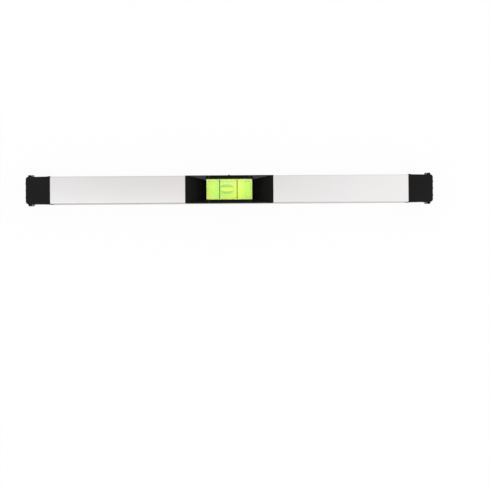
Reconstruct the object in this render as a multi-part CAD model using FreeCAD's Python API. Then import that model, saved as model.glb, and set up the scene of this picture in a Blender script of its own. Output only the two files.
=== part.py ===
import FreeCAD, Part
import math
import os

# Precision machinist level, laid on its base with the vial on top.
# X runs along the bar, Y across it and Z up. The origin is the middle of the base.
# All sizes are in millimetres.

# Overall
overall_length = 300.0

# Bar: a box extrusion with a thicker, milled base
side_wall = 2.0
bed_side = 0.5
bed_thickness = 1.3
base_wall = 3.0
top_wall = 2.0
bar_edge_radius = 0.9

# Draft of the mouldings' long sides, in degrees: they widen towards the top
mould_draft = 1.15

# End caps
cap_length = 18.65
rib_height = 0.55
rib_width = 2.4
rib_pitch = 5.0
rib_end_margin = 3.0
bead_length = 1.84
bead_proud = 0.4
bead_top_proud = 0.3
cap_base_lift = 0.25
waist_step = 0.2
cap_taper = 0.25
cap_corner_radius = 1.2
cap_end_chamfer = 0.9
cap_end_wall = 1.85
cap_side_wall = 2.0
cap_floor_wall = 2.2

# Core inside each cap
spigot_length = 14.0
spigot_corner = 1.0
spigot_lead = 0.8
core_pocket_wall = 2.4
core_pin_land = 5.0

# Cross pins and the lugs beside them
pin_radius = 1.3
pin_from_end = 4.7
pin_below_top = 6.0
pin_proud = 1.7
pin_end_chamfer = 0.35
lug_gap = 0.15
lug_length = 1.5
lug_slope = 0.5
lug_shy = 0.1
pad_proud = 0.5
pad_ramp = 1.8
pad_height = 5.6

# Housing
housing_length = 64.5
housing_side_proud = 0.2
notch_depth = 12.0
drop_in_gap = 0.1
scoop_top_margin = 2.65
scoop_rim = 0.45
scoop_depth = 9.0
scoop_floor_shy = 0.3
foot_gap = 0.1

# Cheeks beside the vial
cheek_pillar = 1.75
cheek_sill = 2.5
cheek_chamfer = 0.25
tongue_length = 0.6
tongue_width = 1.0
tongue_top_drop = 2.0
nub_proud = 0.35
nub_width = 1.2
nub_height = 2.0

# Vial
block_length = 33.7
block_side = 15.0
block_recess = 0.4
block_edge = 0.3
block_gap = 0.1
bore_wall = 0.9
blind_wall = 0.85
blind_corner = 2.0
blind_steps = 2
stopper_length = 1.5
reflector_thickness = 0.3

# Reading lines and bubble
line_centre = -0.65
line_spacing = 12.8
line_width = 0.9
line_depth = 0.2
bubble_centre = -1.77
bubble_length = 10.3
bubble_width = 7.0
bubble_film = 0.3

# Screws from below
screw_from_centre = 25.0
screw_shank_radius = 1.5
screw_head_radius = 2.9
screw_head_height = 1.5
screw_sink = 0.2
screw_end_height = 8.6
socket_flats = 2.0
socket_depth = 1.0
insert_radius = 2.3
insert_height = 6.0

# Fit of one round part in another
round_fit = 0.05

# Positions that follow from the sizes above
half_length = overall_length / 2
end_face_x = half_length - rib_height
bar_half_length = half_length - cap_length
block_half_width = block_side / 2
bore_radius = block_half_width - bore_wall
hollow_half_width = block_half_width + bed_side
bar_half_width = hollow_half_width + side_wall
reflector_base = base_wall + bed_thickness
block_base = reflector_base + reflector_thickness
block_top = block_base + block_side
bore_height = block_base + block_half_width
bar_height = block_top + block_recess
notch_floor = bar_height - notch_depth
hollow_top = bar_height - top_wall
housing_half_length = housing_length / 2
draft_slope = math.tan(math.radians(mould_draft))
housing_half_width = bar_half_width + housing_side_proud
housing_low_half_width = housing_half_width - draft_slope * notch_depth
block_half_length = block_length / 2
pocket_half_length = block_half_length + block_gap
pocket_half_width = block_half_width + block_gap
sill_top = notch_floor + cheek_sill
cheek_half_length = block_half_length - cheek_pillar
pin_x = half_length - pin_from_end
pin_height = bar_height - pin_below_top
cap_half_width = bar_half_width + bead_proud
cap_end_half_width = cap_half_width - waist_step - cap_taper
pin_skin = cap_end_half_width - draft_slope * pin_below_top
pin_half_length = pin_skin + pin_proud
core_half_width = cap_end_half_width - draft_slope * bar_height - cap_side_wall
core_base = base_wall
core_top = hollow_top - cap_floor_wall / 2
core_end_x = end_face_x - cap_end_wall


def vector(x, y, z):
    return FreeCAD.Vector(x, y, z)


def block(x0, x1, y0, y1, z0, z1):
    """A box between two opposite corners."""
    return Part.makeBox(x1 - x0, y1 - y0, z1 - z0, vector(x0, y0, z0))


def cut_corner_wire(x, half_width, z0, z1, corner):
    """A rectangle across X with its four corners cut at 45 degrees."""
    y = half_width
    c = corner
    points = [
        vector(x, -y + c, z0),
        vector(x, y - c, z0),
        vector(x, y, z0 + c),
        vector(x, y, z1 - c),
        vector(x, y - c, z1),
        vector(x, -y + c, z1),
        vector(x, -y, z1 - c),
        vector(x, -y, z0 + c),
    ]
    return Part.makePolygon(points + points[:1])


def round_corner_wire(x, half_width, z0, z1, radius, draft=0):
    """A rectangle across X with four rounded corners. Its sides narrow downwards by the draft."""
    lean = math.radians(draft)
    edges = []
    ends = []
    for sy, sz in [(1, -1), (1, 1), (-1, 1), (-1, -1)]:
        cz = z0 + radius if sz < 0 else z1 - radius
        cy = half_width - (z1 - cz) * math.tan(lean) - radius / math.cos(lean)
        half_turn = (sz * math.pi / 2 - lean) / 2
        along, up = radius * math.cos(half_turn), radius * math.sin(half_turn)
        side = vector(x, sy * (cy + radius * math.cos(lean)), cz - radius * math.sin(lean))
        middle = vector(x, sy * (cy + along), cz + up)
        flat = vector(x, sy * cy, cz + sz * radius)
        first, last = (flat, side) if sy * sz < 0 else (side, flat)
        edges.append(Part.Arc(first, middle, last).toShape())
        ends.append((first, last))
    for i in range(4):
        edges.append(Part.makeLine(ends[i][1], ends[(i + 1) % 4][0]))
    return Part.Wire(Part.__sortEdges__(edges))


def prism(wire, length):
    """A section across X carried along X."""
    return Part.Face(wire).extrude(vector(length, 0, 0))


def rod(radius, start, direction, length):
    return Part.makeCylinder(radius, length, start, direction)


def bore_solid(x0, x1, corner):
    """A solid of the bore between two stations, its far corner rounded in short steps."""
    points = [vector(x0, 0, 0), vector(x0, bore_radius, 0)]
    for i in range(blind_steps + 1):
        angle = math.pi / 2 * i / blind_steps
        x = x1 - corner + corner * math.sin(angle)
        r = bore_radius - corner + corner * math.cos(angle)
        points.append(vector(x, r, 0))
    points.append(vector(x1, 0, 0))
    face = Part.Face(Part.makePolygon(points + points[:1]))
    solid = face.revolve(vector(0, 0, 0), vector(1, 0, 0), 360)
    solid.translate(vector(0, 0, bore_height))
    return solid


def screw_axes():
    return [-screw_from_centre, screw_from_centre]


def make_bar():
    """The extrusion: box section, housing notch and countersunk holes."""
    outer = round_corner_wire(-bar_half_length, bar_half_width, 0, bar_height, bar_edge_radius)
    bar = prism(outer, 2 * bar_half_length)
    hollow = block(
        -bar_half_length, bar_half_length, -hollow_half_width, hollow_half_width, base_wall, hollow_top
    )
    notch_half_length = housing_half_length + drop_in_gap
    notch = block(
        -notch_half_length, notch_half_length, -half_length, half_length, notch_floor, 2 * bar_height
    )
    bar = bar.cut(hollow).cut(notch)
    for x in screw_axes():
        hole = rod(screw_shank_radius + round_fit, vector(x, 0, 0), vector(0, 0, 1), base_wall)
        sink_height = screw_sink + screw_head_height
        sink_radius = screw_head_radius + round_fit
        slope = (screw_head_radius - screw_shank_radius) / screw_head_height
        mouth = sink_radius + screw_sink * slope
        sink = Part.makeCone(
            mouth, screw_shank_radius + round_fit, sink_height, vector(x, 0, 0), vector(0, 0, 1)
        )
        bar = bar.cut(hole).cut(sink)
    return bar.removeSplitter()


def scoop_cutter():
    """The faceted hollow at the right end of the vial: a ramp between two leaning walls."""
    shallow = housing_half_length - scoop_top_margin
    deep = pocket_half_length
    rim = housing_half_width - scoop_rim
    half_floor = block_half_width - scoop_floor_shy
    top = bar_height
    low = bar_height - scoop_depth
    a = [vector(shallow, s * rim, top) for s in (-1, 1)]
    b = [vector(deep, s * rim, top) for s in (-1, 1)]
    c = [vector(deep, s * half_floor, low) for s in (-1, 1)]
    loops = [
        [a[0], a[1], c[1], c[0]],
        [a[0], b[0], c[0]],
        [a[1], b[1], c[1]],
        [a[0], b[0], b[1], a[1]],
        [b[0], c[0], c[1], b[1]],
    ]
    faces = [Part.Face(Part.makePolygon(loop + loop[:1])) for loop in loops]
    solid = Part.Solid(Part.Shell(faces))
    if solid.Volume < 0:
        solid.reverse()
    return solid


def housing_outline():
    """The housing above the bar's walls: its long sides widen upwards by the draft."""
    low = housing_low_half_width
    high = housing_half_width
    x = -housing_half_length
    points = [
        vector(x, -low, notch_floor),
        vector(x, low, notch_floor),
        vector(x, high, bar_height),
        vector(x, -high, bar_height),
    ]
    return prism(Part.makePolygon(points + points[:1]), housing_length)


def cheek_slot(side, gap):
    """The space of one cheek, from the sill up and outwards, with its two end tongues."""
    inner = pocket_half_width
    reach = cheek_half_length + gap
    body = block(-reach, reach, inner, half_length, sill_top, bar_height)
    middle = (inner + housing_low_half_width) / 2
    half_tongue = tongue_width / 2 + gap
    reach = cheek_half_length + tongue_length + gap
    tongue = block(
        -reach,
        reach,
        middle - half_tongue,
        middle + half_tongue,
        sill_top,
        bar_height - tongue_top_drop + gap,
    )
    solid = body.fuse(tongue).removeSplitter()
    if side < 0:
        solid = solid.mirror(vector(0, 0, 0), vector(0, 1, 0))
    return solid


def make_housing():
    """The black moulding: upper body, feet in the bar, vial pocket, scoops and cheek slots."""
    body = housing_outline()
    foot_half_width = hollow_half_width - foot_gap
    for side in (-1, 1):
        ends = sorted([side * pocket_half_length, side * housing_half_length])
        foot = block(ends[0], ends[1], -foot_half_width, foot_half_width, base_wall, notch_floor)
        body = body.fuse(foot)
    pocket = block(
        -pocket_half_length,
        pocket_half_length,
        -pocket_half_width,
        pocket_half_width,
        0,
        2 * bar_height,
    )
    body = body.cut(pocket)
    right_scoop = scoop_cutter()
    left_scoop = right_scoop.mirror(vector(0, 0, 0), vector(1, 0, 0))
    body = body.cut(right_scoop).cut(left_scoop)
    for side in (-1, 1):
        body = body.cut(cheek_slot(side, round_fit))
    for x in screw_axes():
        seat = rod(
            insert_radius + round_fit, vector(x, 0, base_wall), vector(0, 0, 1), insert_height
        )
        body = body.cut(seat)
    return body.removeSplitter()


def make_cheek(side):
    """One cheek. The back one carries a small moulding nub at mid-length."""
    solid = cheek_slot(side, 0).common(housing_outline())
    ends = []
    for edge in solid.Edges:
        box = edge.BoundBox
        at_top = box.ZMin > bar_height - 0.01
        at_end = box.XLength < 0.01 and abs(abs(box.Center.x) - cheek_half_length) < 0.01
        if at_top and at_end:
            ends.append(edge)
    solid = solid.makeChamfer(cheek_chamfer, ends)
    if side > 0:
        nub = block(
            -nub_width / 2,
            nub_width / 2,
            housing_low_half_width,
            housing_half_width + nub_proud,
            bar_height - nub_height,
            bar_height,
        )
        solid = solid.fuse(nub).removeSplitter()
    return solid


def line_strip(side):
    """One reading line, inlaid across the top of the block."""
    x = line_centre + side * line_spacing / 2
    half = line_width / 2
    reach = block_half_width - block_edge
    return block(x - half, x + half, -reach, reach, block_top - line_depth, block_top)


def make_vial_block():
    """The clear block: broken top edges, blind bore and the two inlaid lines' grooves."""
    solid = block(
        -block_half_length,
        block_half_length,
        -block_half_width,
        block_half_width,
        block_base,
        block_top,
    )
    top_edges = [e for e in solid.Edges if e.BoundBox.ZMin > block_top - 0.01]
    solid = solid.makeChamfer(block_edge, top_edges)
    solid = solid.cut(bore_solid(-block_half_length, block_half_length - blind_wall, blind_corner))
    for side in (-1, 1):
        solid = solid.cut(line_strip(side))
    return solid.removeSplitter()


def make_stopper():
    """The disc that closes the filling end of the bore."""
    radius = bore_radius - round_fit
    return rod(radius, vector(-block_half_length, 0, bore_height), vector(1, 0, 0), stopper_length)


def bubble_body(growth):
    """A capsule along the bore whose waist lies where the bubble meets the bore's roof."""
    roof = bore_radius - bubble_film
    rise = math.sqrt(roof**2 - (bubble_width / 2) ** 2)
    r = bubble_width / 2 + growth
    straight = (bubble_length - bubble_width) / 2
    k = r * math.sqrt(0.5)
    left = Part.Arc(vector(-straight - r, 0, 0), vector(-straight - k, k, 0), vector(-straight, r, 0))
    right = Part.Arc(vector(straight, r, 0), vector(straight + k, k, 0), vector(straight + r, 0, 0))
    edges = [
        left.toShape(),
        Part.makeLine(vector(-straight, r, 0), vector(straight, r, 0)),
        right.toShape(),
        Part.makeLine(vector(straight + r, 0, 0), vector(-straight - r, 0, 0)),
    ]
    face = Part.Face(Part.Wire(edges))
    solid = face.revolve(vector(0, 0, 0), vector(1, 0, 0), 360)
    solid.translate(vector(bubble_centre, 0, bore_height + rise))
    return solid


def make_bubble():
    """The air bubble, flattened above by the roof of the bore."""
    roof = rod(
        bore_radius - bubble_film,
        vector(-block_half_length, 0, bore_height),
        vector(1, 0, 0),
        block_length,
    )
    return bubble_body(0).common(roof)


def make_liquid():
    """The liquid fills the bore from the stopper to the blind end, around the bubble."""
    fill = bore_solid(
        stopper_length - block_half_length, block_half_length - blind_wall, blind_corner
    )
    return fill.cut(bubble_body(bubble_film))


def make_reflector():
    """The pale plate under the block."""
    return block(
        -block_half_length,
        block_half_length,
        -block_half_width,
        block_half_width,
        reflector_base,
        block_base,
    )


def make_bed():
    """Cured resin under the vial and up both of its sides, between the housing's feet."""
    outer = block(
        -pocket_half_length,
        pocket_half_length,
        -hollow_half_width,
        hollow_half_width,
        base_wall,
        notch_floor,
    )
    inner = block(
        -half_length, half_length, -block_half_width, block_half_width, reflector_base, bar_height
    )
    return outer.cut(inner)


def make_screw(x):
    """A countersunk screw, head down, with a hexagon socket."""
    cone = Part.makeCone(
        screw_head_radius,
        screw_shank_radius,
        screw_head_height,
        vector(x, 0, screw_sink),
        vector(0, 0, 1),
    )
    shank = rod(
        screw_shank_radius,
        vector(x, 0, screw_sink),
        vector(0, 0, 1),
        screw_end_height - screw_sink,
    )
    corner = socket_flats / math.sqrt(3)
    points = []
    for i in range(7):
        angle = math.radians(60 * i)
        point = vector(x + corner * math.cos(angle), corner * math.sin(angle), screw_sink)
        points.append(point)
    socket = Part.Face(Part.makePolygon(points)).extrude(vector(0, 0, socket_depth))
    return cone.fuse(shank).cut(socket).removeSplitter()


def make_insert(x):
    """A brass sleeve in the housing's foot."""
    sleeve = rod(insert_radius, vector(x, 0, base_wall), vector(0, 0, 1), insert_height)
    bore = rod(
        screw_shank_radius + round_fit, vector(x, 0, base_wall), vector(0, 0, 1), insert_height
    )
    return sleeve.cut(bore)


def make_core():
    """The right core: spigot in the bar, body in the cap, a pocket and the pin's hole."""
    inner_x = bar_half_length - spigot_length
    lead_x = inner_x + spigot_lead
    shy = spigot_lead / 2
    tip = cut_corner_wire(
        inner_x, hollow_half_width - shy, base_wall + shy, hollow_top - shy, spigot_corner
    )
    full = cut_corner_wire(lead_x, hollow_half_width, base_wall, hollow_top, spigot_corner)
    lead = Part.makeLoft([tip, full], True, True)
    spigot = prism(full, bar_half_length - lead_x)
    section = cut_corner_wire(
        bar_half_length, core_half_width, core_base, core_top, spigot_corner
    )
    body = prism(section, core_end_x - bar_half_length)
    wall = core_pocket_wall
    pocket = block(
        inner_x,
        core_end_x - core_pin_land,
        -core_half_width + wall,
        core_half_width - wall,
        core_base + wall,
        core_top - wall,
    )
    core = lead.fuse([spigot, body]).cut(pocket)
    hole = rod(
        pin_radius + round_fit, vector(pin_x, -half_length, pin_height), vector(0, 1, 0), overall_length
    )
    return core.cut(hole).removeSplitter()


def cap_section(x, share, inset):
    """The cap's outline at a station; share runs from 0 at the bead to 1 at the end."""
    shrink = waist_step + cap_taper * share + inset
    return round_corner_wire(
        x,
        cap_half_width - shrink,
        cap_base_lift + shrink,
        bar_height - shrink,
        cap_corner_radius,
        mould_draft,
    )


def lug_pad(side):
    """The pad around one end of the pin, with the lug that stands beyond it."""
    skin = pin_skin
    pad = skin + pad_proud
    tall = skin + pin_proud - lug_shy
    root = skin - cap_side_wall / 2
    inner = pin_x - pin_radius - pad_ramp
    lug_x = pin_x + pin_radius + lug_gap
    outline = [
        (inner, root),
        (inner, skin),
        (inner + pad_ramp, pad),
        (lug_x, pad),
        (lug_x, tall),
        (lug_x + lug_length - lug_slope, tall),
        (lug_x + lug_length, skin),
        (lug_x + lug_length, root),
    ]
    z0 = pin_height - pad_height / 2
    points = [vector(x, side * y, z0) for x, y in outline]
    face = Part.Face(Part.makePolygon(points + points[:1]))
    return face.extrude(vector(0, 0, pad_height))


def end_ribs():
    """Three low ribs, round in section, up the end face."""
    half = rib_width / 2
    root_x = end_face_x - cap_end_wall / 4
    z0 = cap_base_lift + rib_end_margin
    z1 = bar_height - rib_end_margin
    ribs = []
    for i in (-1, 0, 1):
        y = i * rib_pitch
        left = vector(end_face_x, y - half, z0)
        right = vector(end_face_x, y + half, z0)
        edges = [
            Part.Arc(left, vector(end_face_x + rib_height, y, z0), right).toShape(),
            Part.makeLine(right, vector(root_x, y + half, z0)),
            Part.makeLine(vector(root_x, y + half, z0), vector(root_x, y - half, z0)),
            Part.makeLine(vector(root_x, y - half, z0), left),
        ]
        ribs.append(Part.Face(Part.Wire(edges)).extrude(vector(0, 0, z1 - z0)))
    return ribs


def make_cap():
    """The right cap: bead, tapered waist, broken end edge, ribs, lugs and the core's cavity."""
    bead_wire = round_corner_wire(
        bar_half_length,
        cap_half_width,
        cap_base_lift,
        bar_height + bead_top_proud,
        cap_corner_radius,
        mould_draft,
    )
    bead = prism(bead_wire, bead_length)
    waist_x = bar_half_length + bead_length
    break_x = end_face_x - cap_end_chamfer
    near = cap_section(waist_x, 0, 0)
    far = cap_section(break_x, 1, 0)
    tip = cap_section(end_face_x, 1, cap_end_chamfer)
    waist = Part.makeLoft([near, far], True, True)
    nose = Part.makeLoft([far, tip], True, True)
    cap = bead.fuse([waist, nose, lug_pad(-1), lug_pad(1)] + end_ribs())
    section = cut_corner_wire(
        bar_half_length, core_half_width, core_base, core_top, spigot_corner
    )
    cavity = prism(section, core_end_x - bar_half_length)
    hole = rod(
        pin_radius + round_fit, vector(pin_x, -half_length, pin_height), vector(0, 1, 0), overall_length
    )
    return cap.cut(cavity).cut(hole).removeSplitter()


def make_pin():
    """The right cross pin, with broken ends."""
    pin = rod(
        pin_radius,
        vector(pin_x, -pin_half_length, pin_height),
        vector(0, 1, 0),
        2 * pin_half_length,
    )
    rims = [e for e in pin.Edges if e.BoundBox.YLength < 0.01]
    return pin.makeChamfer(pin_end_chamfer, rims)


def turned(shape):
    """The same part at the other end of the bar, turned half a turn."""
    copy = shape.copy()
    copy.rotate(vector(0, 0, 0), vector(0, 0, 1), 180)
    return copy


def main():
    os.makedirs("parts", exist_ok=True)
    core = make_core()
    cap = make_cap()
    pin = make_pin()
    nodes = {
        "bar_body": make_bar(),
        "vial_housing": make_housing(),
        "cheek_front": make_cheek(-1),
        "cheek_back": make_cheek(1),
        "vial_block": make_vial_block(),
        "vial_stopper": make_stopper(),
        "vial_liquid": make_liquid(),
        "vial_bubble": make_bubble(),
        "reading_line_left": line_strip(-1),
        "reading_line_right": line_strip(1),
        "vial_reflector": make_reflector(),
        "vial_bed": make_bed(),
        "housing_screws": Part.makeCompound([make_screw(x) for x in screw_axes()]),
        "housing_inserts": Part.makeCompound([make_insert(x) for x in screw_axes()]),
        "end_core_left": turned(core),
        "end_core_right": core,
        "end_cap_left": turned(cap),
        "end_cap_right": cap,
        "cross_pin_left": turned(pin),
        "cross_pin_right": pin,
    }
    for name, shape in nodes.items():
        shape.exportStep("parts/" + name + ".step")
        box = shape.BoundBox
        print(name, len(shape.Solids), shape.isValid(), round(shape.Volume, 2), box)


main()
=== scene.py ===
import logging
import math
from dataclasses import dataclass
from enum import Enum

import bmesh
import bpy
import numpy as np
from mathutils import Euler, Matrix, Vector


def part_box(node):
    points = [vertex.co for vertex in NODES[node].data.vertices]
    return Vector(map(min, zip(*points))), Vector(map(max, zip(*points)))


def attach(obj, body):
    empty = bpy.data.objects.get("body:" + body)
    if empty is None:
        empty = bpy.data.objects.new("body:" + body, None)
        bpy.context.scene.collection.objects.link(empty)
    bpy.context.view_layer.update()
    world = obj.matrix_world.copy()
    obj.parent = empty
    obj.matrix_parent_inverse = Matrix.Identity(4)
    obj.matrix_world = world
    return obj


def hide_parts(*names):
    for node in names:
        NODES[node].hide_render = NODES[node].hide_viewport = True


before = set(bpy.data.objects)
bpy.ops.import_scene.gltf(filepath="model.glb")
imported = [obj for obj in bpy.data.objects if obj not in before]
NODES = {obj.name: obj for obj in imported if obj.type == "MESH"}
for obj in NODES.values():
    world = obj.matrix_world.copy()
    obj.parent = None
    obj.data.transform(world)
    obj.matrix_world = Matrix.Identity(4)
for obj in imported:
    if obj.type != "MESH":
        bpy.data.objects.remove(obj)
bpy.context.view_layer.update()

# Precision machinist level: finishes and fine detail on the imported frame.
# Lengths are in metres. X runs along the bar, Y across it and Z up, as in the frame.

LOG = logging.getLogger("machinist_level")
MM = 0.001
MERGE_BELOW = 0.0005 * MM
FLAT_BELOW = math.radians(0.8)
ROUNDED_ABOVE = math.radians(38.0)

Colour = tuple[float, float, float]
Value = object


class Body(Enum):
    """The rigid bodies of the frame."""

    LEVEL = "level"
    BUBBLE = "bubble"


# --- shader graphs -------------------------------------------------------------


class Expr:
    """A shader socket that Python operators combine into Math nodes."""

    def __init__(self, graph: "Graph", socket: bpy.types.NodeSocket) -> None:
        """Keeps the graph and the output socket."""
        self.graph = graph
        self.socket = socket

    def math(self, operation: str, other: Value = 0.0, swapped: bool = False) -> "Expr":
        """One Math node.

        Args:
            operation: the node's operation.
            other: the second operand, a number or an Expr.
            swapped: whether the second operand comes first.

        Returns:
            The node's result.
        """
        first, second = (other, self) if swapped else (self, other)
        return self.graph.node("ShaderNodeMath", {"operation": operation}, {0: first, 1: second})[0]

    def __add__(self, other: Value) -> "Expr":
        """Sum."""
        return self.math("ADD", other)

    __radd__ = __add__

    def __mul__(self, other: Value) -> "Expr":
        """Product."""
        return self.math("MULTIPLY", other)

    __rmul__ = __mul__

    def __sub__(self, other: Value) -> "Expr":
        """Difference."""
        return self.math("SUBTRACT", other)

    def __rsub__(self, other: Value) -> "Expr":
        """Difference from a number."""
        return self.math("SUBTRACT", other, swapped=True)

    def __truediv__(self, other: Value) -> "Expr":
        """Quotient."""
        return self.math("DIVIDE", other)

    def __pow__(self, other: Value) -> "Expr":
        """Power."""
        return self.math("POWER", other)

    def __abs__(self) -> "Expr":
        """Size without sign."""
        return self.math("ABSOLUTE")

    def at_least(self, other: Value) -> "Expr":
        """The larger of two values."""
        return self.math("MAXIMUM", other)

    def between(self, low: float, high: float) -> "Expr":
        """0 below low, 1 above high, and a smooth step between them."""
        settings = {"interpolation_type": "SMOOTHSTEP"}
        values = {"Value": self, "From Min": low, "From Max": high}
        return self.graph.node("ShaderNodeMapRange", settings, values)["Result"]


class Outputs:
    """The outputs of one node, by name or number."""

    def __init__(self, graph: "Graph", node: bpy.types.Node) -> None:
        """Keeps the graph and the node."""
        self.graph = graph
        self.node = node

    def __getitem__(self, key: str | int) -> Expr:
        """The output of that name or number."""
        return Expr(self.graph, self.node.outputs[key])


class Graph:
    """Builds a node tree."""

    def __init__(self, tree: bpy.types.NodeTree) -> None:
        """Empties the tree and keeps it."""
        self.tree = tree
        tree.nodes.clear()

    def node(self, kind: str, settings: dict | None = None, inputs: dict | None = None) -> Outputs:
        """Makes any node: its type, its settings, then the values or links of its sockets.

        Args:
            kind: the node's type name.
            settings: attributes set first; "stops" holds a ramp's (place, colour) pairs.
            inputs: socket name or number to a value or an Expr.

        Returns:
            The node's outputs.
        """
        made = self.tree.nodes.new(kind)
        for key, value in (settings or {}).items():
            if key == "stops":
                ramp = made.color_ramp.elements
                while len(ramp) < len(value):
                    ramp.new(0.5)
                for element, (place, colour) in zip(ramp, value):
                    element.position = place
                    element.color = (*colour, 1.0)
            else:
                setattr(made, key, value)
        for key, value in (inputs or {}).items():
            socket = made.inputs[key]
            if isinstance(value, Expr):
                self.tree.links.new(value.socket, socket)
            elif isinstance(value, tuple) and len(value) == 3 and socket.type == "RGBA":
                socket.default_value = (*value, 1.0)
            else:
                socket.default_value = value
        return Outputs(self, made)

    def place(self) -> Expr:
        """The point on the piece, in metres."""
        return self.node("ShaderNodeTexCoord")["Object"]

    def axes(self) -> tuple[Expr, Expr, Expr]:
        """The point's x, y and z, in metres."""
        split = self.node("ShaderNodeSeparateXYZ", None, {0: self.place()})
        return split[0], split[1], split[2]

    def noise(self, grain: float, stretch: Colour = (1.0, 1.0, 1.0), detail: float = 3.0) -> Expr:
        """Even noise.

        Args:
            grain: the size of one grain, in metres.
            stretch: how many times longer the grains are along each axis.
            detail: octaves.

        Returns:
            A value about 0.5.
        """
        scale = tuple(1.0 / (grain * s) for s in stretch)
        mapped = self.node("ShaderNodeMapping", None, {"Vector": self.place(), "Scale": scale})
        values = {"Vector": mapped[0], "Scale": 1.0, "Detail": detail, "Roughness": 0.55}
        return self.node("ShaderNodeTexNoise", None, values)[0]

    def mix(self, amount: Value, first: Value, second: Value) -> Expr:
        """A colour between two colours."""
        values = {0: amount, 6: first, 7: second}
        return self.node("ShaderNodeMix", {"data_type": "RGBA"}, values)[2]

    def product(self, first: Value, second: Value, amount: Value = 1.0) -> Expr:
        """The first colour times the second, or part of the way there."""
        settings = {"data_type": "RGBA", "blend_type": "MULTIPLY"}
        return self.node("ShaderNodeMix", settings, {0: amount, 6: first, 7: second})[2]

    def ramp(self, amount: Expr, stops: list[tuple[float, Colour]]) -> Expr:
        """A colour read from a ramp."""
        return self.node("ShaderNodeValToRGB", {"stops": stops}, {"Fac": amount})["Color"]

    def along(self, place: Expr, stops: tuple[tuple[float, Colour], ...]) -> Expr:
        """A colour read from (place in metres, colour) stops."""
        low, high = stops[0][0], stops[-1][0]
        shares = [((at - low) / (high - low), colour) for at, colour in stops]
        return self.ramp((place - low) / (high - low), shares)

    def bump(self, height: Expr, depth: float, strength: float = 1.0) -> Expr:
        """A normal from a height between 0 and 1 and its depth in metres."""
        values = {"Height": height, "Distance": depth, "Strength": strength}
        return self.node("ShaderNodeBump", None, values)["Normal"]

    def surface(self, shader: Expr) -> None:
        """Ends the tree in a material's surface."""
        self.node("ShaderNodeOutputMaterial", None, {"Surface": shader})


# --- finishes ------------------------------------------------------------------


@dataclass(frozen=True)
class Finish:
    """A finish with a fine grain and broad, faint patches.

    Fields are the two colours that it wanders between, the range of roughness, the grain in
    metres, how far the grain is drawn out along each axis, and the depth of its relief.
    """

    name: str
    dark: Colour
    light: Colour
    rough: tuple[float, float] = (0.4, 0.5)
    grain: float = 0.4 * MM
    stretch: Colour = (1.0, 1.0, 1.0)
    patch: float = 18.0 * MM
    relief: float = 0.0
    metallic: float = 0.0
    specular: float = 0.5
    coat: float = 0.0

    def sockets(self, graph: Graph) -> dict[str, Value]:
        """The shader's inputs.

        Args:
            graph: the material's graph.

        Returns:
            Socket names and values.
        """
        fine = graph.noise(self.grain, self.stretch)
        broad = graph.noise(self.patch, detail=2.0)
        amount = (fine * 0.6 + broad * 0.4).between(0.3, 0.7)
        spread = self.rough[1] - self.rough[0]
        values: dict[str, Value] = {
            "Base Color": graph.mix(amount, self.dark, self.light),
            "Roughness": broad.between(0.3, 0.7) * spread + self.rough[0],
            "Metallic": self.metallic,
            "Specular IOR Level": self.specular,
            "Coat Weight": self.coat,
            "Coat Roughness": 0.12,
        }
        if self.relief:
            values["Normal"] = graph.bump(fine, self.relief)
        return values

    def material(self) -> bpy.types.Material:
        """The finish as a material, made once."""
        name = self.name + "_finish"
        made = bpy.data.materials.get(name)
        if made is None:
            made = bpy.data.materials.new(name)
            made.use_nodes = True
            graph = Graph(made.node_tree)
            graph.surface(graph.node("ShaderNodeBsdfPrincipled", None, self.sockets(graph))[0])
        return made


@dataclass(frozen=True)
class SatinBar(Finish):
    """Satin aluminium with painted light: its brightness drifts along the bar, lightest towards the +X
    end as the light falls, from stops at (x in metres, colour).

    Its long sides are painted a shade darker: painted shade for the shaded floor that they reflect.
    """

    # painted light: these stops set how bright the bar is along its length
    stops: tuple[tuple[float, Colour], ...] = ()
    # painted shade: the colour that darkens the long sides past the given half width
    sides: Colour = (0.8, 0.8, 0.8)
    side_shade_from: float = 9.8 * MM
    side_fade: float = 0.15 * MM

    def sockets(self, graph: Graph) -> dict[str, Value]:
        """The shader's inputs, with the grain laid over the painted light that drifts along the bar."""
        values = super().sockets(graph)
        x, y, _ = graph.axes()
        # painted light: the bar is made lighter and darker along its length as the light falls on it
        painted_light_drift = graph.along(x, self.stops)
        # painted shade: the long sides are darkened
        side = abs(y).between(self.side_shade_from, self.side_shade_from + self.side_fade)
        side_shade_tone = graph.mix(side, (1.0, 1.0, 1.0), self.sides)
        grain = graph.product(painted_light_drift, values["Base Color"])
        values["Base Color"] = graph.product(grain, side_shade_tone)
        return values


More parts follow.
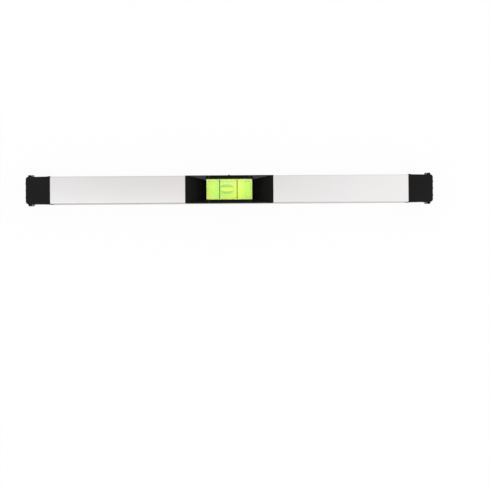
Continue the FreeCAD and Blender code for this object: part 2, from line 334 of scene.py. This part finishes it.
@dataclass(frozen=True)
class Moulding(Finish):
    """Black moulding. The scoops' long walls are painted: the back wall lighter, as painted light from
    the front, and the front wall darker, as painted shade; the cheeks' end edges carry a painted pale
    highlight.
    """

    # painted light and painted shade: the back wall of each scoop lit, the front wall shaded
    painted_lit_wall: Colour = (0.1, 0.095, 0.11)
    painted_shaded_wall: Colour = (0.02, 0.02, 0.021)
    # painted highlight on the cheeks' end edges; its width and depth follow below
    painted_edge_highlight: Colour = (0.035, 0.035, 0.033)
    floor: tuple[float, float] = (16.95 * MM, 7.2 * MM)
    mouth: tuple[float, float] = (29.6 * MM, 9.75 * MM)
    top: float = 19.93 * MM
    cheek_end: float = 15.0 * MM
    highlight_width: float = 0.4 * MM
    highlight_depth: float = 2.0 * MM
    soft: float = 0.1 * MM

    def sockets(self, graph: Graph) -> dict[str, Value]:
        """The shader's inputs, with the painted light and shade on the scoop walls and the painted
        highlight on the cheeks' end edges.
        """
        values = super().sockets(graph)
        x, y, z = graph.axes()
        slope = (self.mouth[1] - self.floor[1]) / (self.mouth[0] - self.floor[0])
        crease = (abs(x) - self.floor[0]) * slope + self.floor[1]
        past_crease = (abs(y) - crease).between(0.0, self.soft)
        inside = 1 - abs(y).between(self.mouth[1], self.mouth[1] + self.soft)
        below = 1 - z.between(self.top - self.soft, self.top)
        scoop = abs(x).between(self.floor[0] - self.soft, self.floor[0])
        wall = past_crease * inside * below * scoop
        # painted light: the back wall, which faces the light from the front, is painted lighter and the
        # front wall darker
        back = y.between(-MM, MM)
        painted_wall_light = graph.mix(back, self.painted_shaded_wall, self.painted_lit_wall)
        # painted highlight: a pale band along the upper end edges of the cheeks
        near_end = 1 - abs(abs(x) - self.cheek_end).between(self.highlight_width / 2, self.highlight_width)
        high = z.between(self.top - self.highlight_depth, self.top - self.highlight_depth / 2)
        with_edge_highlight = graph.mix(near_end * high, values["Base Color"], self.painted_edge_highlight)
        values["Base Color"] = graph.mix(wall, with_edge_highlight, painted_wall_light)
        return values


@dataclass(frozen=True)
class Clear(Finish):
    """A clear solid or liquid inside another, with its own index against what is around it."""

    index: float = 1.49

    def sockets(self, graph: Graph) -> dict[str, Value]:
        """The shader's inputs, with transmission."""
        values = super().sockets(graph)
        values["Transmission Weight"] = 1.0
        values["IOR"] = self.index
        return values


@dataclass(frozen=True)
class Air(Clear):
    """The bubble: a bright core, a green band around it and a pale rim, painted light put into its
    colour and a faint emission, standing for the light that bends there.
    """

    core: tuple[float, float] = (4.4 * MM, 1.3 * MM)
    centre: float = -1.77 * MM
    half_straight: float = 1.65 * MM
    half_width: float = 3.5 * MM
    rim: float = 0.5 * MM
    # painted light and shade: the emission colours of the core and rim and the tints of the band and rim
    painted_core_light: Colour = (0.06, 0.02, 0.0)
    painted_band_shade: Colour = (0.6, 0.8, 0.9)
    painted_rim_highlight: Colour = (0.85, 0.9, 0.98)
    painted_rim_light: Colour = (0.05, 0.05, 0.2)

    def sockets(self, graph: Graph) -> dict[str, Value]:
        """The shader's inputs, with the painted light patterned by the distance from the bubble's
        middle.
        """
        values = super().sockets(graph)
        x, y, _ = graph.axes()
        off = abs(x - self.centre)
        past = (off - self.half_straight).at_least(0.0)
        reach = (past * past + y * y) ** 0.5
        outer = reach.between(self.half_width - self.rim, self.half_width - 0.2 * self.rim)
        outer = outer * (abs(y) / reach.at_least(0.01 * MM)).between(0.35, 0.75)
        inner = (off / self.core[0]) ** 4.0 + (abs(y) / self.core[1]) ** 4.0
        core = 1 - inner.between(0.3, 2.6)
        # painted shade in the band and a painted pale rim
        tint = graph.mix(core, self.painted_band_shade, values["Base Color"])
        values["Base Color"] = graph.mix(outer, tint, self.painted_rim_highlight)
        # painted light: the core and rim are made to emit light
        glow = graph.mix(core, (0.0, 0.0, 0.0), self.painted_core_light)
        values["Emission Color"] = graph.mix(outer, glow, self.painted_rim_light)
        values["Emission Strength"] = 1.0
        return values


@dataclass(frozen=True)
class Glow(Finish):
    """The reflector's finish, a painted glow: the plate emits light in its own colour, which stands for
    the light that the dye turns yellow-green.

    Its colour follows the length of the vial, from stops at (x in metres, colour), is yellower
    towards the front and pales towards the two long edges.
    """

    stops: tuple[tuple[float, Colour], ...] = ()
    front: Colour = (0.9, 0.93, 0.6)
    edge: Colour = (0.62, 0.76, 0.34)
    half_width: float = 7.5 * MM
    edge_width: float = 1.0 * MM
    strength: float = 0.7

    def sockets(self, graph: Graph) -> dict[str, Value]:
        """The shader's inputs, with painted light: emission in the same colour."""
        values = super().sockets(graph)
        x, y, _ = graph.axes()
        along = graph.along(x, self.stops)
        forward = (-1.0 * y).between(-self.half_width, self.half_width)
        along = graph.product(along, self.front, forward)
        rim = abs(y).between(self.half_width - self.edge_width, self.half_width)
        colour = graph.mix(rim, along, self.edge)
        # painted light: the plate emits its own colour though it is no lamp
        values["Base Color"] = colour
        values["Emission Color"] = colour
        values["Emission Strength"] = self.strength
        return values


SATIN_BAR = SatinBar(
    "satin_aluminium", (0.965, 0.965, 0.965), (1.0, 1.0, 1.0), (0.36, 0.46), 0.09 * MM,
    (160.0, 1.0, 1.0), 60 * MM, 0.0012 * MM, metallic=1.0,
    # painted light: the bar's brightness along its length, lightest towards the +X end
    stops=(
        (-131 * MM, (0.756, 0.743, 0.747)),
        (-80 * MM, (0.717, 0.709, 0.697)),
        (-36 * MM, (0.723, 0.7, 0.692)),
        (45 * MM, (0.763, 0.754, 0.739)),
        (82 * MM, (0.802, 0.788, 0.788)),
        (131 * MM, (0.859, 0.849, 0.832)),
    ),
)
BLACK_MOULDING = Moulding(
    "black_moulding", (0.006, 0.006, 0.0054), (0.0085, 0.0085, 0.0077), (0.34, 0.46), 0.25 * MM,
    relief=0.004 * MM, specular=0.04,
)
BLACK_RUBBER = Finish(
    "black_rubber", (0.0085, 0.0078, 0.0081), (0.0125, 0.0115, 0.012), (0.5, 0.62), 0.16 * MM,
    relief=0.012 * MM, specular=0.08,
)
CLEAR_ACRYLIC = Clear(
    "clear_acrylic", (0.975, 1.0, 0.95), (0.985, 1.0, 0.965), (0.0, 0.02), 1.5 * MM, index=1.49,
)
VIAL_LIQUID = Clear(
    "vial_liquid", (0.89, 0.985, 0.6), (0.92, 1.0, 0.64), (0.0, 0.01), 2 * MM, index=0.965,
)
STOPPER = Clear(
    "clear_stopper", (0.89, 0.985, 0.6), (0.92, 1.0, 0.66), (0.1, 0.16), 0.6 * MM, index=1.02,
)
AIR_BUBBLE = Air(
    "air_bubble", (0.97, 0.99, 0.95), (0.99, 1.0, 0.97), (0.0, 0.01), 2 * MM, index=0.88,
)
INK = Finish("dark_ink", (0.03, 0.045, 0.008), (0.05, 0.07, 0.015), (0.5, 0.6), 0.1 * MM)
# painted light: the reflector plate emits light, standing for the light that passes through the vial
REFLECTOR_GLOW = Glow(
    "pale_plate", (0.6, 0.9, 0.12), (0.65, 0.95, 0.15), (0.6, 0.7), 0.5 * MM,
    stops=(
        (-16.85 * MM, (0.75, 0.93, 0.27)),
        (-12.5 * MM, (0.79, 0.96, 0.27)),
        (-9.5 * MM, (0.64, 0.98, 0.33)),
        (-7.0 * MM, (0.72, 0.94, 0.29)),
        (0.0 * MM, (0.84, 0.98, 0.28)),
        (4.5 * MM, (0.84, 0.98, 0.28)),
        (7.6 * MM, (0.92, 1.00, 0.28)),
        (11.5 * MM, (0.67, 0.96, 0.26)),
        (16.85 * MM, (0.74, 0.90, 0.26)),
    ),
)
RESIN = Finish("setting_resin", (0.62, 0.6, 0.48), (0.7, 0.68, 0.55), (0.3, 0.45), 1.0 * MM)
SCREW_STEEL = Finish(
    "screw_steel", (0.38, 0.38, 0.39), (0.5, 0.5, 0.51), (0.28, 0.4), 0.2 * MM, metallic=1.0,
)
PIN_STEEL = Finish(
    "pin_steel", (0.19, 0.175, 0.177), (0.27, 0.25, 0.252), (0.25, 0.38), 0.12 * MM, metallic=1.0,
)
BRASS = Finish("brass", (0.6, 0.44, 0.18), (0.7, 0.53, 0.25), (0.25, 0.35), 0.2 * MM, metallic=1.0)
GREY_PLASTIC = Finish("grey_plastic", (0.07, 0.07, 0.07), (0.1, 0.1, 0.1), relief=0.005 * MM)


# --- meshes --------------------------------------------------------------------


def new_piece(name: str, verts: np.ndarray, faces: list, smooth_below: float = 35.0) -> bpy.types.Object:
    """A mesh object at the origin.

    Args:
        name: the piece's name.
        verts: an (n, 3) array in metres.
        faces: vertex numbers of each face.
        smooth_below: edges that turn less than this many degrees are shaded smooth.

    Returns:
        The linked object.
    """
    mesh = bpy.data.meshes.new(name)
    mesh.from_pydata(verts.tolist(), [], faces)
    work = bmesh.new()
    work.from_mesh(mesh)
    bmesh.ops.remove_doubles(work, verts=work.verts, dist=MERGE_BELOW)
    bmesh.ops.recalc_face_normals(work, faces=work.faces)
    work.to_mesh(mesh)
    work.free()
    mesh.shade_smooth()
    mesh.set_sharp_from_angle(angle=math.radians(smooth_below))
    piece = bpy.data.objects.new(name, mesh)
    bpy.context.scene.collection.objects.link(piece)
    return piece


def loft(name: str, rings: np.ndarray, smooth_below: float = 35.0) -> bpy.types.Object:
    """A closed skin over rings of points, with a fan at each end.

    The face between rings i and i + 1 and spokes j and j + 1 joins their four points. Each end
    fan joins the end ring to its own mean point.

    Args:
        name: the piece's name.
        rings: an (s, n, 3) array in metres.
        smooth_below: as in new_piece.

    Returns:
        The linked object.
    """
    s, n, _ = rings.shape
    verts = np.vstack([rings.reshape(-1, 3), rings[0].mean(0), rings[-1].mean(0)])
    i, j = np.meshgrid(np.arange(s - 1), np.arange(n), indexing="ij")
    k = (j + 1) % n
    quads = np.stack([i * n + j, i * n + k, (i + 1) * n + k, (i + 1) * n + j], -1).reshape(-1, 4)
    j = np.arange(n)
    k = (j + 1) % n
    first = np.stack([k, j, np.full(n, s * n)], -1)
    last = np.stack([(s - 1) * n + j, (s - 1) * n + k, np.full(n, s * n + 1)], -1)
    faces = quads.tolist() + first.tolist() + last.tolist()
    return new_piece(name, verts, faces, smooth_below)


def round_rings(profile: np.ndarray, centre: Vector, along: str, count: int = 64) -> np.ndarray:
    """Circles about an axis: each (station, radius) of the profile gives one ring.

    Args:
        profile: an (s, 2) array of places along the axis and radii.
        centre: a point on the axis.
        along: "X", "Y" or "Z".
        count: points in a ring.

    Returns:
        An (s, count, 3) array.
    """
    turn = np.linspace(0.0, 2 * np.pi, count, endpoint=False)
    place, radius = profile[:, :1], profile[:, 1:]
    across = radius * np.cos(turn)
    up = radius * np.sin(turn)
    flat = np.broadcast_to(place, across.shape)
    order = {"X": (flat, across, up), "Y": (up, flat, across), "Z": (across, up, flat)}[along]
    return np.stack(order, -1) + np.array(centre)


def rounded_rings(stations: np.ndarray, radius: float, per_corner: int = 6) -> np.ndarray:
    """Round-cornered rectangles across X.

    Each corner is a quarter circle about a centre that lies the radius inside both sides.

    Args:
        stations: an (s, 4) array of x, half width, half height and mid z.
        radius: the corners' radius.
        per_corner: points in a corner.

    Returns:
        An (s, 4 * per_corner, 3) array.
    """
    quarter = np.linspace(0.0, np.pi / 2, per_corner)
    turn = (quarter[None, :] + np.arange(4)[:, None] * np.pi / 2).ravel()
    middle = np.repeat(np.pi / 4 + np.arange(4) * np.pi / 2, per_corner)
    x, a, b, z0 = (stations[:, i : i + 1] for i in range(4))
    y = np.sign(np.cos(middle)) * (a - radius) + radius * np.cos(turn)
    z = z0 + np.sign(np.sin(middle)) * (b - radius) + radius * np.sin(turn)
    return np.stack([np.broadcast_to(x, y.shape), y, z], -1)


def soft_copy(node: str, width: float, segments: int = 2) -> bpy.types.Object:
    """A merged copy of a frame node with its hard edges rounded.

    Args:
        node: the node's name.
        width: how wide the rounding is, in metres.
        segments: steps of the rounding.

    Returns:
        The linked copy, which stands for the node.
    """
    source = NODES[node].data
    verts = np.zeros(len(source.vertices) * 3)
    source.vertices.foreach_get("co", verts)
    source.calc_loop_triangles()
    tris = np.zeros(len(source.loop_triangles) * 3, dtype=np.int64)
    source.loop_triangles.foreach_get("vertices", tris)
    piece = new_piece(node + "_dressed", verts.reshape(-1, 3), tris.reshape(-1, 3).tolist())
    work = bmesh.new()
    work.from_mesh(piece.data)
    bmesh.ops.dissolve_limit(work, angle_limit=FLAT_BELOW, verts=work.verts, edges=work.edges)
    work.to_mesh(piece.data)
    work.free()
    rounding = piece.modifiers.new("rounding", "BEVEL")
    rounding.width = width
    rounding.segments = segments
    rounding.limit_method = "ANGLE"
    rounding.angle_limit = ROUNDED_ABOVE
    rounding.harden_normals = True
    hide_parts(node)
    return piece


# --- sub-assemblies ------------------------------------------------------------


@dataclass
class SubAssembly:
    """A group of pieces that ride on one body."""

    body: Body = Body.LEVEL

    def dress(self, piece: bpy.types.Object, finish: Finish, slot: str) -> bpy.types.Object:
        """Gives a piece its finish and its body, and reports it.

        Args:
            piece: the piece, at the origin.
            finish: what it is finished in.
            slot: not used.

        Returns:
            The piece.
        """
        piece.data.materials.clear()
        piece.data.materials.append(finish.material())
        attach(piece, self.body.value)
        LOG.info("%s: %s", piece.name, finish.name)
        return piece

    def finish_node(self, node: str, finish: Finish) -> None:
        """Gives a frame node, kept as it is, its finish."""
        NODES[node].data.materials.clear()
        NODES[node].data.materials.append(finish.material())
        LOG.info("%s: %s", node, finish.name)


@dataclass
class Bar(SubAssembly):
    """The silver bar, its cores and the screws from below."""

    edge: float = 0.12 * MM

    def build(self) -> None:
        """Builds the bar and finishes what it holds."""
        self.dress(soft_copy("bar_body", self.edge), SATIN_BAR, "satin_aluminium")
        for side in ("left", "right"):
            self.finish_node("end_core_" + side, GREY_PLASTIC)
        self.finish_node("housing_screws", SCREW_STEEL)
        self.finish_node("housing_inserts", BRASS)


@dataclass
class Housing(SubAssembly):
    """The black housing and its cheeks."""

    edge: float = 0.14 * MM

    def build(self) -> None:
        """Builds the three mouldings."""
        for node in ("vial_housing", "cheek_front", "cheek_back"):
            self.dress(soft_copy(node, self.edge), BLACK_MOULDING, "black_moulding")


@dataclass
class Vial(SubAssembly):
    """The block, the liquid, the stopper, the reading lines and what lies under them.

    The clearance keeps the block off the walls of its pocket.
    """

    clearance: float = 0.14 * MM
    lift: float = 0.05 * MM
    edge: float = 0.3 * MM
    end_round: float = 2.0 * MM
    liquid_bevel: float = 0.1 * MM
    stopper_bevel: float = 0.15 * MM
    line_width: float = 0.62 * MM
    line_proud: float = 0.03 * MM
    ring_points: int = 96

    def block(self) -> None:
        """The clear block: rounded rectangles along X, drawn in a little at both end faces."""
        lo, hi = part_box("vial_block")
        z0 = lo.z + self.lift
        turn = np.linspace(0.0, np.pi / 2, 5)
        from_end = self.clearance + self.edge * (1 - np.cos(turn))
        inset = self.edge * (1 - np.sin(turn))
        x = np.concatenate([lo.x + from_end, (hi.x - from_end)[::-1]])
        inset = np.concatenate([inset, inset[::-1]])
        half_width = (hi.y - lo.y) / 2 - self.clearance - inset
        half_height = (hi.z - z0) / 2 - inset
        mid = np.full_like(x, (hi.z + z0) / 2)
        stations = np.stack([x, half_width, half_height, mid], -1)
        piece = loft("vial_block_clear", rounded_rings(stations, self.edge), 30.0)
        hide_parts("vial_block")
        self.dress(piece, CLEAR_ACRYLIC, "clear_acrylic")

    def liquid(self) -> None:
        """The liquid: circles along X, rounded at the blind end."""
        lo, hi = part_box("vial_liquid")
        radius = (hi.y - lo.y) / 2
        centre = Vector((0.0, 0.0, lo.z + radius))
        turn = np.linspace(0.0, np.pi / 2, 12)
        bevel = self.liquid_bevel
        x = np.concatenate([[lo.x, lo.x + bevel], hi.x - self.end_round * (1 - np.sin(turn))])
        r = np.concatenate([[radius - bevel, radius], radius - self.end_round * (1 - np.cos(turn))])
        rings = round_rings(np.stack([x, r], -1), centre, "X", self.ring_points)
        piece = loft("vial_liquid_clear", rings)
        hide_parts("vial_liquid")
        self.dress(piece, VIAL_LIQUID, "vial_liquid")

    def stopper(self) -> None:
        """The stopper: a disc just inside the filling end."""
        lo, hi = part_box("vial_stopper")
        radius = (hi.y - lo.y) / 2
        centre = Vector((0.0, 0.0, (lo.z + hi.z) / 2))
        soft = self.stopper_bevel
        start = lo.x + self.clearance + self.lift
        x = np.array([start, start + soft, hi.x - soft - self.lift, hi.x - self.lift])
        r = np.array([radius - soft, radius, radius, radius - soft])
        rings = round_rings(np.stack([x, r], -1), centre, "X", self.ring_points)
        piece = loft("vial_stopper_clear", rings)
        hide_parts("vial_stopper")
        self.dress(piece, STOPPER, "clear_acrylic")

    def lines(self) -> None:
        """The two lines: flat strips of ink on the top face."""
        for side in ("left", "right"):
            node = "reading_line_" + side
            lo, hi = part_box(node)
            mid = (lo.x + hi.x) / 2
            x = mid + np.array([-0.5, 0.5]) * self.line_width
            half_height = np.full(2, self.line_proud / 2)
            stations = np.stack([x, np.full(2, hi.y), half_height, hi.z + half_height], -1)
            piece = loft(node + "_ink", rounded_rings(stations, self.line_proud / 4), 30.0)
            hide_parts(node)
            self.dress(piece, INK, "dark_ink")

    def build(self) -> None:
        """Builds the vial from the outside in."""
        self.block()
        self.liquid()
        self.stopper()
        self.lines()
        self.finish_node("vial_reflector", REFLECTOR_GLOW)
        self.finish_node("vial_bed", RESIN)


@dataclass
class Bubble(SubAssembly):
    """The air bubble."""

    body: Body = Body.BUBBLE
    half_width: float = 3.5 * MM
    roof_radius: float = 6.3 * MM
    softness: float = 0.35 * MM
    fullness: float = 0.35
    least: float = 0.004 * MM

    def build(self) -> None:
        """Builds the bubble.

        A ray from the capsule's axis at turn t meets the capsule at distance r(x) and the
        bore's roof at distance q(t). The skin lies at the soft minimum of the two, so its
        contact edge is round.
        """
        lo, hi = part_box("vial_bubble")
        w = self.half_width
        rise = math.sqrt(self.roof_radius**2 - w**2)
        axis_z = hi.z - self.roof_radius + rise
        mid = (lo.x + hi.x) / 2
        straight = (hi.x - lo.x) / 2 - w
        bend = np.linspace(-np.pi / 2, 0.0, 24)
        ends = w * np.sin(bend)
        x = np.concatenate([mid - straight + ends, mid + straight - ends[::-1]])
        r = np.concatenate([w * np.cos(bend), w * np.cos(bend[::-1])]).clip(0.01 * MM)[:, None]
        t = np.linspace(0.0, 2 * np.pi, 96, endpoint=False)[None, :]
        s = np.sin(t)
        q = -rise * s + np.sqrt((rise * s) ** 2 + self.roof_radius**2 - rise**2)
        k = self.softness
        d = -k * np.logaddexp(-r / k, -q / k)
        d = np.maximum(d + k * self.fullness * np.exp(-np.abs(r - q) / k), self.least)
        y = d * np.cos(t)
        z = axis_z + d * s
        rings = np.stack([np.broadcast_to(x[:, None], y.shape), y, z], -1)
        piece = loft("vial_bubble_air", rings, 50.0)
        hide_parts("vial_bubble")
        self.dress(piece, AIR_BUBBLE, "air_bubble")


@dataclass
class Ends(SubAssembly):
    """The caps and the pins through them.

    The dimple in a pin's end is given as (radius, depth) in millimetres.
    """

    edge: float = 0.16 * MM
    dome: float = 0.3 * MM
    dimple: tuple[tuple[float, float], ...] = ((0.35, 0.0), (0.28, 0.02), (0.12, 0.12), (0.02, 0.16))

    def pin(self, side: str) -> None:
        """A steel pin: circles along Y, domed at both ends and dimpled by its turning centre."""
        node = "cross_pin_" + side
        lo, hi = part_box(node)
        radius = (hi.x - lo.x) / 2
        centre = Vector(((lo.x + hi.x) / 2, 0.0, (lo.z + hi.z) / 2))
        turn = np.linspace(0.0, np.pi / 2, 8)
        edge_y = hi.y - self.dome * (1 - np.sin(turn))
        edge_r = radius - self.dome * (1 - np.cos(turn))
        dimple = np.array(self.dimple) * MM
        y = np.concatenate([edge_y, hi.y - dimple[:, 1]])
        r = np.concatenate([edge_r, dimple[:, 0]])
        y = np.concatenate([-y[::-1], y])
        r = np.concatenate([r[::-1], r])
        piece = loft(node + "_dressed", round_rings(np.stack([y, r], -1), centre, "Y", 48), 40.0)
        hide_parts(node)
        self.dress(piece, PIN_STEEL, "pin_steel")

    def build(self) -> None:
        """Builds both ends."""
        for side in ("left", "right"):
            self.dress(soft_copy("end_cap_" + side, self.edge), BLACK_RUBBER, "black_rubber")
            self.pin(side)


# --- stage ---------------------------------------------------------------------


@dataclass(frozen=True)
class Studio:
    """A white floor, soft light and the camera straight above."""

    focal: float = 70.2
    sensor: float = 36.0
    height: float = 0.72
    aim: tuple[float, float] = (11.53 * MM, -40.96 * MM)
    roll: float = -0.36
    floor_size: float = 6.0
    floor_drop: float = 0.1 * MM
    floor_glow: float = 0.94
    sky: float = 0.95

    def seen(self, graph: Graph) -> Expr:
        """1 for camera and see-through rays, 0 for the rest."""
        path = graph.node("ShaderNodeLightPath")
        return path["Is Camera Ray"].at_least(path["Is Transmission Ray"])

    def world(self) -> None:
        """A white sky that lights the object a little less than it shows."""
        world = bpy.data.worlds.new("soft_sky")
        world.use_nodes = True
        graph = Graph(world.node_tree)
        strength = self.seen(graph) * (1.0 - self.sky) + self.sky
        sky = graph.node("ShaderNodeBackground", None, {"Color": (1.0, 1.0, 1.0), "Strength": strength})
        graph.node("ShaderNodeOutputWorld", None, {"Surface": sky[0]})
        bpy.context.scene.world = world

    def floor(self) -> None:
        """A plain white floor that keeps the shadow."""
        corners = np.array([[-1, -1], [1, -1], [1, 1], [-1, 1]]) * self.floor_size / 2
        verts = np.column_stack([corners, np.full(4, -self.floor_drop)])
        floor = new_piece("floor", verts, [[0, 1, 2, 3]])
        material = bpy.data.materials.new("white_floor")
        material.use_nodes = True
        graph = Graph(material.node_tree)
        paint = graph.node("ShaderNodeBsdfDiffuse", None, {"Color": (0.93, 0.93, 0.93)})[0]
        light = graph.node("ShaderNodeEmission", None, {"Color": (1.0, 1.0, 1.0), "Strength": 1.0})[0]
        amount = self.seen(graph) * self.floor_glow
        graph.surface(graph.node("ShaderNodeMixShader", None, {0: amount, 1: paint, 2: light})[0])
        floor.data.materials.append(material)

    def lamp(self, name: str, place: Colour, size: float, power: float) -> None:
        """A square soft lamp that points at the object.

        Args:
            name: the lamp's name.
            place: where it is, in metres.
            size: its side, in metres.
            power: its power in watts.
        """
        data = bpy.data.lights.new(name, "AREA")
        data.size = size
        data.energy = power
        lamp = bpy.data.objects.new(name, data)
        lamp.location = place
        lamp.rotation_euler = (-Vector(place)).to_track_quat("-Z", "Y").to_euler()
        bpy.context.scene.collection.objects.link(lamp)

    def camera(self) -> None:
        """The camera looks straight down, and the object lies above and left of its axis."""
        data = bpy.data.cameras.new("camera")
        data.lens = self.focal
        data.sensor_width = self.sensor
        data.clip_start = 0.01
        data.clip_end = 20.0
        camera = bpy.data.objects.new("camera", data)
        roll = math.radians(self.roll)
        x, y = self.aim
        camera.location = (
            x * math.cos(roll) - y * math.sin(roll),
            x * math.sin(roll) + y * math.cos(roll),
            self.height,
        )
        camera.rotation_euler = Euler((0.0, 0.0, roll))
        bpy.context.scene.collection.objects.link(camera)
        bpy.context.scene.camera = camera

    def build(self) -> None:
        """Sets the stage."""
        self.world()
        self.floor()
        self.lamp("key", (-0.25, -0.45, 1.3), 0.7, 1.5)
        self.lamp("fill", (0.9, 0.5, 0.9), 0.9, 0.6)
        self.camera()
        bpy.context.scene.view_settings.view_transform = "Standard"


def main() -> None:
    """Builds every sub-assembly in order, then the stage."""
    logging.basicConfig(level=logging.INFO, format="%(message)s")
    for part in (Bar(), Housing(), Vial(), Bubble(), Ends(), Studio()):
        part.build()


if __name__ == "__main__":
    main()
